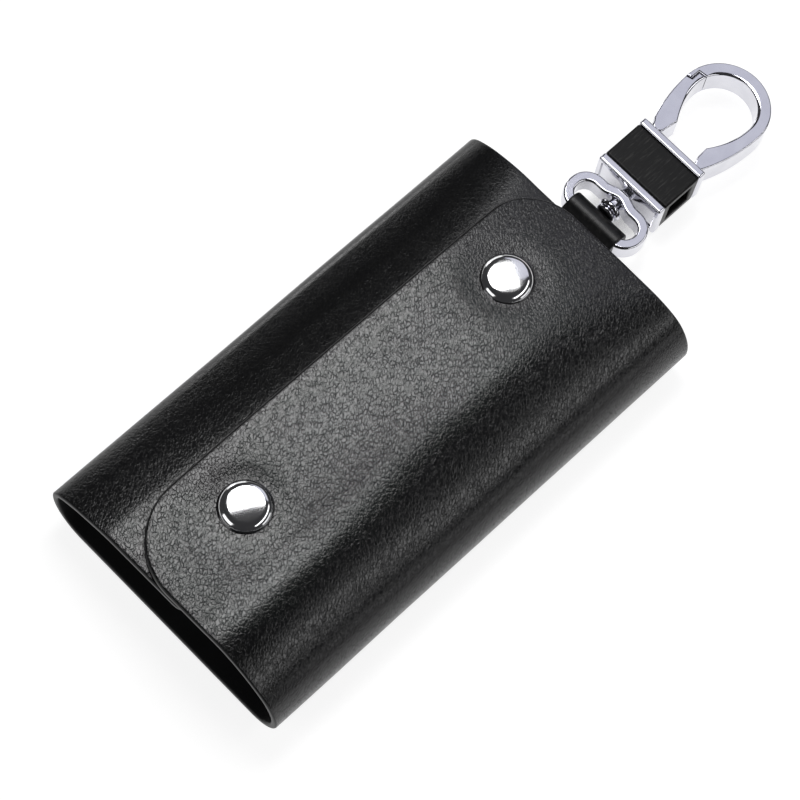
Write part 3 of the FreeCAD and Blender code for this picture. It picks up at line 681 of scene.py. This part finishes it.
# an outline moved inwards, each point by its own share of the inset
def movedIn(points, inset, shares=None):
    moved, leastSpread = [], 0.9
    for i, point in enumerate(points):
        here, before, after = Vector(point), Vector(points[i - 1]), Vector(points[(i + 1) % len(points)])
        first, second = (here - before).normalized(), (after - here).normalized()
        both = Vector((-first.y - second.y, first.x + second.x))
        own = inset * (shares[i] if shares else 1.0)
        moved.append(here + both * 2 * own / max(both.length_squared, leastSpread))
    return moved


# extra rings and points close to a bend, so that the flats beside it stay flat
hold = {"face": 0.06, "side": 0.05, "corner": 0.05, "leastCorner": 0.06}


# a slab from an outline drawn anticlockwise for any inset, with rounded rims; a pocket may sink into its low face
def slab(name, outlineAt, low, high, rim, place, look, pocket=None, steps=4):
    turns = np.linspace(0, math.pi / 2, steps + 1)
    layers = [(rim + hold["face"], high)]
    layers += [(rim * (1 - math.sin(a)), high - rim * (1 - math.cos(a))) for a in turns]
    layers.append((0.0, high - rim - hold["side"]))
    layers += [(inset, low + high - level) for inset, level in reversed(layers)]
    if pocket:
        edge, deep = pocket  # soft lip, steep wall and flat bottom
        layers += [(edge, low), (edge + 0.08, low + 0.06), (edge + 0.1, low + deep), (edge + 0.3, low + deep)]
    rings = [outlineAt(inset) for inset, level in layers]
    count = len(rings[0])
    points = [place(p[0], p[1], layers[k][1]) for k, ring in enumerate(rings) for p in ring]
    faces = [tuple(range(count)), tuple((len(rings) - 1) * count + i for i in reversed(range(count)))]
    return finishMesh(name, points, faces + ringFaces(len(rings), count, False), look)


def drawn(points, shares=None):
    return lambda inset: movedIn(points, inset, shares)


def boxDrawn(halfWide, halfHigh, corner, steps=5):
    return lambda inset: heldBox(halfWide - inset, halfHigh - inset, max(hold["leastCorner"], corner - inset), steps)


# a box with rounded corners and extra points that hold its flat sides
def heldBox(halfWide, halfHigh, corner, steps=4):
    points, extra = [], hold["corner"]
    for n, (a, b) in enumerate(((1, 1), (-1, 1), (-1, -1), (1, -1))):
        turns = np.radians(np.linspace(0, 90, steps + 1) + 90 * n)
        x, y = a * (halfWide - corner), b * (halfHigh - corner)
        arc = [(x + corner * math.cos(t), y + corner * math.sin(t)) for t in turns]
        before, after = ((arc[k][0] - out * math.sin(turns[k]), arc[k][1] + out * math.cos(turns[k]))
                         for k, out in ((0, -extra), (-1, extra)))
        points += [before] + arc + [after]
    return points


# a section carried round a closed path
def carriedRound(name, path, section, place, look):
    points = []
    for i, point in enumerate(path):
        along = Vector(path[(i + 1) % len(path)]) - Vector(path[i - 1])
        side = Vector((along.y, -along.x)).normalized()
        points += [place(point[0] + side.x * a, point[1] + side.y * a, b) for a, b in section]
    return finishMesh(name, points, ringFaces(len(path), len(section), True), look)


# a band that follows an outline, with the given section across its thickness
def bandRound(name, outlineAt, section, place, look):
    rings = [outlineAt(a) for a, b in section]
    points = [place(p[0], p[1], section[k][1]) for k, ring in enumerate(rings) for p in ring]
    return finishMesh(name, points, ringFaces(len(section), len(rings[0]), True), look)


# a profile of (radius, level) pairs turned about its axis, closed where it starts and ends on the axis
def turnedPiece(name, profile, place, look, sides, sharp):
    points, faces = [], []
    rings = profile[1:-1]
    for radius, level in rings:
        for n in range(sides):
            a = 2 * math.pi * n / sides
            points.append(place(radius * math.cos(a), radius * math.sin(a), level))
    first, last = len(points), len(points) + 1
    points += [place(0.0, 0.0, profile[0][1]), place(0.0, 0.0, profile[-1][1])]
    end = (len(rings) - 1) * sides
    for n in range(sides):
        m = (n + 1) % sides
        faces += [(first, m, n), (last, end + n, end + m)]
        for k in range(len(rings) - 1):
            faces.append((k * sides + n, k * sides + m, (k + 1) * sides + m, (k + 1) * sides + n))
    return finishMesh(name, points, faces, look, sharp)


# copies of a blank set on points by Geometry Nodes, then turned into a plain mesh
def setOnPoints(name, blank, spots, look, leans):
    maker = newPiece(name + "Blank", blank)
    carrier = bpy.data.meshes.new(name)
    carrier.from_pydata(inMetres(spots), [], [])
    lean = carrier.attributes.new("lean", "FLOAT_VECTOR", "POINT")
    lean.data.foreach_set("vector", np.array(leans, np.float32).ravel())
    piece = newPiece(name, carrier)
    tree = bpy.data.node_groups.new(name + "Layout", "GeometryNodeTree")
    for label, way, kind in (("Spots", "INPUT", "Geometry"), ("Blank", "INPUT", "Object"),
                             ("Pieces", "OUTPUT", "Geometry")):
        tree.interface.new_socket(label, in_out=way, socket_type="NodeSocket" + kind)
    enter, leave, pick, lay, real, dress, turn = (tree.nodes.new(kind) for kind in (
        "NodeGroupInput", "NodeGroupOutput", "GeometryNodeObjectInfo", "GeometryNodeInstanceOnPoints",
        "GeometryNodeRealizeInstances", "GeometryNodeSetMaterial", "GeometryNodeInputNamedAttribute"))
    dress.inputs["Material"].default_value = looks[look]
    turn.data_type = "FLOAT_VECTOR"
    turn.inputs["Name"].default_value = "lean"
    for source, output, target, entry in (
            (turn, "Attribute", lay, "Rotation"), (enter, "Spots", lay, "Points"), (enter, "Blank", pick, "Object"),
            (pick, "Geometry", lay, "Instance"), (lay, "Instances", real, "Geometry"),
            (real, "Geometry", dress, "Geometry"), (dress, "Geometry", leave, "Pieces")):
        tree.links.new(source.outputs[output], target.inputs[entry])
    grow = piece.modifiers.new("layout", "NODES")
    grow.node_group = tree
    blankSocket = next(item.identifier for item in tree.interface.items_tree if item.name == "Blank")
    grow[blankSocket] = maker
    plain = bpy.data.meshes.new_from_object(piece.evaluated_get(bpy.context.evaluated_depsgraph_get()))
    piece.modifiers.remove(grow)
    piece.data = plain
    bpy.data.meshes.remove(carrier)
    bpy.data.objects.remove(maker)
    return piece


def settle(piece, body, slot, *nodes):
    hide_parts(*nodes)
    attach(piece, body)


# snap caps: a low dome with a rolled shoulder
cap = {
    "radius": 5.45, "height": 1.6, "dome": 31.0, "shoulder": 2.2, "shoulderTurn": 105.0, "foot": 0.35, "sink": 1.2,
    "leans": ((0.0, 0.0, 0.0), (-0.014, -0.026, 0.0)),
}


def capProfile():
    dome, shoulder, top = cap["dome"], cap["shoulder"], cap["height"]
    edge = cap["radius"] - shoulder
    lean = math.asin(edge / (dome - shoulder))
    profile = [(dome * math.sin(a), top - dome * (1 - math.cos(a))) for a in np.linspace(0.0, lean, 26)]
    middle = top - dome + (dome - shoulder) * math.cos(lean)
    for a in np.linspace(lean, math.radians(cap["shoulderTurn"]), 22)[1:]:
        profile.append((edge + shoulder * math.sin(a), middle + shoulder * math.cos(a)))
    return profile + [(profile[-1][0] - cap["foot"], -cap["sink"]), (0.0, -cap["sink"])]


# cap, socket ring under the flap, stud on the panel and foot under it: (radius, level) from the face each sits on
snapParts = {
    "cap": capProfile(),
    "socket": [(0.0, 0.3), (4.2, 0.3), (4.2, -0.08), (4.12, -0.13), (3.98, -0.15), (3.2, -0.15), (3.1, -0.09),
               (2.3, -0.08), (2.2, -0.14), (2.0, -0.16), (1.85, -0.13), (1.8, 0.0), (1.8, 0.2), (0.0, 0.2)],
    "stud": [(0.0, -0.3), (3.8, -0.3), (3.8, 0.04), (3.7, 0.09), (3.5, 0.1), (2.1, 0.1), (1.7, 0.14), (1.5, 0.26),
             (1.42, 0.45), (1.46, 0.62), (1.58, 0.74), (1.6, 0.84), (1.5, 0.95), (1.3, 1.0), (0.0, 1.02)],
    "foot": [(0.0, -0.45), (2.6, -0.45), (3.4, -0.4), (3.8, -0.28), (3.97, -0.12), (4.0, 0.05), (4.0, 0.3), (0.0, 0.3)],
}


def makeSnaps():
    flap, panel = foldArcs()
    deep = sheet["thickness"]

    def low(x, y):
        return settling(x, y, flap["top"], 0.0)

    for name, piece, body, node, face in (("cap", "snapCaps", "flap", "snap_caps", flap["top"]),
                                          ("socket", "snapSockets", "flap", "snap_sockets", flap["top"] - deep),
                                          ("stud", "snapStuds", "inner_panel", "snap_studs", panel["top"]),
                                          ("foot", "snapPosts", "inner_panel", "snap_posts", panel["top"] - deep)):
        blank = turnedPiece(name + "Blank", snapParts[name], lambda a, b, c: (a, b, c), "snap", 96, 50.0)
        spots = [(x, y, face - low(x, y)) for x, y in sheet["snaps"]]
        leans = [(low(x, y) - low(x, y + 1.0), low(x + 1.0, y) - low(x, y), 0.0) for x, y in sheet["snaps"]]
        if name == "cap":
            leans = cap["leans"]
        settle(setOnPoints(piece, blank, spots, "snap", leans), body, "snap_metal", node)


makeSnaps()
print("snaps set")


# clasp: loop, ringed pin, two plates, wrapped leather, hook and gate, all about one middle line
clasp = {"middle": 1.8, "level": 4.8}


def lyingFlat(x, v, level):
    return (x, clasp["middle"] + v, level)


def facingCase(v, w, x):
    return (x, clasp["middle"] + v, clasp["level"] + w)


def sideOn(x, w, v):
    return (x, clasp["middle"] + v, clasp["level"] + w)


patch = {"start": 32.2, "end": 42.4, "half": 21.6, "low": 1.38, "high": 2.35, "corner": 1.6, "rim": 0.3}


def makePatch():
    half, middle = (patch["end"] - patch["start"]) / 2, (patch["start"] + patch["end"]) / 2
    mesh = slab("railPatch", boxDrawn(half, patch["half"], patch["corner"]), patch["low"], patch["high"], patch["rim"],
                lambda x, y, z: (middle + x, y, z), "tab")
    settle(newPiece("railPatch", mesh), "case", "leather", "rail_patch")


loop = {"back": 60.2, "front": 69.6, "wide": 19.6, "corner": 4.5, "wall": 2.2, "thick": 4.2, "rim": 0.42,
        "hubReach": 1.1, "hubHalf": 4.0}


def makeLoop():
    wall = loop["wall"] / 2
    back, front = loop["back"] + wall, loop["front"] - wall
    half, corner = loop["wide"] / 2 - wall, loop["corner"] - wall
    reach = half - corner

    def bend(x, v, start):
        turns = np.radians(np.linspace(start, start + 90, 13))
        return [(x + corner * math.cos(t), v + corner * math.sin(t)) for t in turns]

    path = bend(back + corner, -half + corner, 180) + bend(front - corner, -half + corner, 270)
    for v in np.linspace(-reach, reach, 43)[1:-1]:
        lobe = 0.5 + 0.5 * math.cos(math.pi * min(1.0, abs(v) / loop["hubHalf"]))
        path.append((front + loop["hubReach"] * lobe, v))
    path += bend(front - corner, reach, 0) + bend(back + corner, reach, 90)
    section = [(a, clasp["level"] + b) for a, b in heldBox(wall, loop["thick"] / 2, loop["rim"])]
    piece = newPiece("swivelLoop", carriedRound("swivelLoop", path, section, lyingFlat, "clasp"))
    settle(piece, "swivel_loop", "clasp_chrome", "swivel_loop")


# beads: middle from the start, half length, inner and outer radius
pin = {"start": 64.62, "end": 67.08, "foot": 72.0, "face": 1.2, "collar": 1.45, "step": 0.02,
       "neck": 1.4, "taper": 0.1, "beads": ((0.5, 0.45, 1.55, 2.3), (1.7, 0.68, 1.7, 2.7))}


def makePin():
    start, end, foot, neck = pin["start"], pin["end"], pin["foot"], pin["neck"]
    profile = [(0.0, start), (pin["face"], start)]
    for middle, halfLong, inner, outer in pin["beads"]:
        for t in np.linspace(0.0, math.pi, 15):
            profile.append((inner + (outer - inner) * math.sin(t), start + middle - halfLong * math.cos(t)))
    profile += [(pin["collar"], end - pin["step"]), (neck, end + pin["taper"]), (neck, foot), (0.0, foot)]
    piece = newPiece("swivelPin", turnedPiece("swivelPin", profile, facingCase, "clasp", 64, 36.0))
    settle(piece, "clasp", "clasp_chrome", "swivel_pin")


plate = {"lower": 71.0, "upper": 82.6, "thick": 1.8, "wide": 16.8, "high": 9.2, "corner": 0.5, "rim": 0.42,
         "recess": 0.4, "recessRim": 1.0}
core = {"wide": 10.0, "high": 2.0, "corner": 0.3, "rim": 0.1, "sunk": 0.2}
hook = {"base": 84.4, "root": 0.3, "centre": 98.8, "end": 9.8, "wall": 2.8, "side": 35.0, "thick": 6.0, "rim": 0.34,
        "innerRim": 2.5, "throatLong": 4.9, "throatHalf": 4.15, "heel": 2.2, "heelDrop": (0.15, 1.1),
        "nose": 100.7, "lipLong": 2.1, "lipSlope": 0.3, "noseSlope": 0.12, "parting": 0.16}
gate = {"pivot": 86.1, "eye": 1.45, "swell": 0.45, "foot": 0.5}
lug = {"halfLong": 1.6, "half": 1.3, "corner": 0.6, "rim": 0.15, "back": 0.4}
spring = {"start": 87.8, "end": 93.1, "leaf": 0.34, "half": 1.3, "inside": 0.5, "bend": 0.1, "rim": 0.06}

hookInner = hook["end"] - hook["wall"]
hookKink = hook["base"] + hook["throatLong"]
gatePivot = hook["throatHalf"] + gate["eye"]
throatRun = hook["centre"] - hook["base"] - hook["throatLong"]
throatDrop = hookInner - hook["throatHalf"]
throat = (throatRun * throatRun + throatDrop * throatDrop) / (2 * throatDrop)


def hookHalf(x, end, side):
    return end - side + math.sqrt(side * side - (hook["centre"] - x) ** 2)


def ringArc(radius, start, end, count):
    turns = np.radians(np.linspace(start, end, count))[1:]
    return [(hook["centre"] + radius * math.cos(t), radius * math.sin(t)) for t in turns]


def partingLine(shift):
    # outer lip, step and nose of the stepped joint, down to the inside of the ring
    lipV = hookInner + hook["wall"] / 2 + shift
    lip, nose = hook["nose"] - hook["lipLong"] + shift, hook["nose"] + shift
    outV = hookHalf(min(lip, hook["centre"]), hook["end"], hook["side"])
    outer = (lip - (outV - lipV) * hook["lipSlope"], outV)
    v = hookInner
    for n in range(8):
        x = nose + (lipV - v) * hook["noseSlope"]
        v = math.sqrt(hookInner * hookInner - (x - hook["centre"]) ** 2)
    bearing = math.degrees(math.atan2(v, x - hook["centre"]))
    return outer, (lip, lipV), (nose, lipV), (x, v), bearing


# the rim is broader along the inside of the hook
def broadRim(amount):
    return 1.0 + (hook["innerRim"] - 1.0) * amount


def hookOutline():
    centre, end, root = hook["centre"], hook["end"], hook["base"] - hook["root"]
    outer, lip, nose, inside, bearing = partingLine(hook["parting"])
    points = [(x, -hookHalf(x, end, hook["side"])) for x in np.linspace(root, centre, 30)]
    points += ringArc(end, -90, 90, 73) + [outer, lip, nose, inside]
    shares = [1.0] * len(points)
    points += ringArc(hookInner, bearing, -90, 65)
    points += [(x, -hookHalf(x, hookInner, throat)) for x in np.linspace(centre, hookKink, 24)[1:]]
    heel = zip((hook["base"] + hook["heel"], root), hook["heelDrop"])
    points += [(x, -hook["throatHalf"] - drop) for x, drop in heel]
    shares += [broadRim(ease(n, -1, 6)) for n in range(64)]  # broader from the nose on
    shares += [broadRim(1 - ease(n, 4, 18)) for n in range(23)] + [1.0, 1.0]  # narrow again in the throat
    return points, shares


def gateOutline():
    centre, end, eye, pivot = hook["centre"], hook["end"], gate["eye"], gate["pivot"]
    outer, lip, nose, _, bearing = partingLine(0.0)
    points = [outer]
    points += [(x, hookHalf(x, end, hook["side"])) for x in np.linspace(outer[0], pivot + gate["foot"], 30)[1:]]
    turns = np.radians(np.linspace(100, 270, 19))
    points += [(pivot + eye * math.cos(t), gatePivot + eye * math.sin(t)) for t in turns]
    shares = [1.0] * len(points)
    for x in np.linspace(hookKink, centre, 24):
        points.append((x, hookHalf(x, hookInner, throat) - gate["swell"] * (1 - ease(x, hookKink, centre))))
    points += ringArc(hookInner, 90, bearing, 8)
    shares += [broadRim(ease(n, 8, 18)) for n in range(24)] + [broadRim(1 - ease(n, 0, 6)) for n in range(7)]
    return points + [nose, lip], shares + [1.0, 1.0]


# a leaf that leaves the pin straight and then bends along the inside of the gate
def springOutline():
    straight = gatePivot - spring["leaf"] / 2
    line = []
    for x in np.linspace(spring["start"], spring["end"], 25):
        rise = hookHalf(x, hookInner, throat) + spring["inside"] - straight
        line.append((x, straight + (rise + math.sqrt(rise * rise + spring["bend"])) / 2))
    return line + [(x, v + spring["leaf"]) for x, v in reversed(line)]


def makeClasp():
    level = clasp["level"]
    low, high = level - hook["thick"] / 2, level + hook["thick"] / 2
    thick, rim = plate["thick"], plate["rim"]
    outline = boxDrawn(plate["wide"] / 2, plate["high"] / 2, plate["corner"], 3)
    lower = slab("lowerPlate", outline, plate["lower"], plate["lower"] + thick, rim, facingCase, "clasp",
                 (plate["recessRim"], plate["recess"]))
    upper = slab("upperPlate", outline, plate["upper"], plate["upper"] + thick, rim, facingCase, "clasp")
    start, end = plate["lower"] + thick - core["sunk"], plate["upper"] + core["sunk"]
    middle = slab("core", boxDrawn(core["wide"] / 2, core["high"] / 2, core["corner"], 2), start, end, core["rim"],
                  facingCase, "clasp")
    ring = slab("hookRing", drawn(*hookOutline()), low, high, hook["rim"], lyingFlat, "clasp", steps=6)
    half, lugX = lug["half"], gate["pivot"] - lug["back"]
    hinge = slab("gateLug", boxDrawn(lug["halfLong"], half, lug["corner"], 4), -half, half, lug["rim"],
                 lambda a, b, c: (lugX + a, clasp["middle"] + gatePivot + b, level + c), "clasp")
    frameMesh = joinMeshes("claspFrame", [lower, upper, middle, ring, hinge])
    settle(newPiece("claspFrame", frameMesh), "clasp", "clasp_chrome", "clasp_frame")
    arm = slab("claspGate", drawn(*gateOutline()), low, high, hook["rim"], lyingFlat, "clasp", steps=6)
    settle(newPiece("claspGate", arm), "gate", "clasp_chrome", "clasp_gate")
    leaf = slab("gateSpring", drawn(springOutline()), level - spring["half"], level + spring["half"], spring["rim"],
                lyingFlat, "spring", steps=2)
    settle(newPiece("gateSpring", leaf), "gate", "spring_steel", "gate_spring")


wrap = {"start": 72.86, "end": 82.54, "wide": 16.4, "high": 8.7, "skin": 1.7, "corner": 0.5, "rim": 0.34}


def makeWrap():
    halfLong, middle = (wrap["end"] - wrap["start"]) / 2, (wrap["start"] + wrap["end"]) / 2
    skin = wrap["skin"] / 2
    section = [(skin + a, b) for a, b in heldBox(skin, wrap["wide"] / 2, wrap["rim"])]
    outline = boxDrawn(halfLong, wrap["high"] / 2, wrap["corner"])
    mesh = bandRound("leatherWrap", outline, section, lambda x, w, v: sideOn(middle + x, w, v), "wrap")
    settle(newPiece("leatherWrap", mesh), "clasp", "leather", "leather_wrap")


tab = {"wide": 13.0, "bar": 61.8, "roll": 2.7, "floor": 1.45, "ceiling": 3.95, "inner": 43.0, "bend": 55.0, "rim": 0.4}


def makeTab():
    # outline seen from the side: two layers that leave the case and roll round the bar
    floor, ceiling = tab["floor"] - clasp["level"], tab["ceiling"] - clasp["level"]
    inner, bend, bar, roll = tab["inner"], tab["bend"], tab["bar"], tab["roll"]

    # where a layer that comes from the bend at height z meets the roll
    def touch(z, way):
        return math.atan2(z, bend - bar) + way * math.acos(roll / math.hypot(bend - bar, z))

    high, low = touch(ceiling, -1), touch(floor, 1)
    low = high - (high - low) % (2 * math.pi)
    outline = [(inner, floor), (bend, floor)]
    outline += [(bar + roll * math.cos(a), roll * math.sin(a)) for a in np.linspace(low, high, 40)]
    outline += [(bend, ceiling), (inner, ceiling)]
    mesh = slab("leatherTab", drawn(outline), -tab["wide"] / 2, tab["wide"] / 2, tab["rim"], sideOn, "tab")
    settle(newPiece("leatherTab", mesh), "case", "leather", "leather_tab")


makePatch()
makeLoop()
makePin()
makeClasp()
makeWrap()
makeTab()
print("clasp built")


# small nodes that keep their shape
nodeLooks = {
    "clasp": ("gate_pin",),
    "rail": ("key_rail", "hook_rod", "rail_rivets", "tab_rivets") + tuple("key_hook_%d" % n for n in range(1, 7)),
    "spring": tuple("key_gate_%d" % n for n in range(1, 7)),
}
for look, names in nodeLooks.items():
    for name in names:
        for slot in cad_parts[name].material_slots:
            slot.material = looks[look]
print("small nodes dressed")
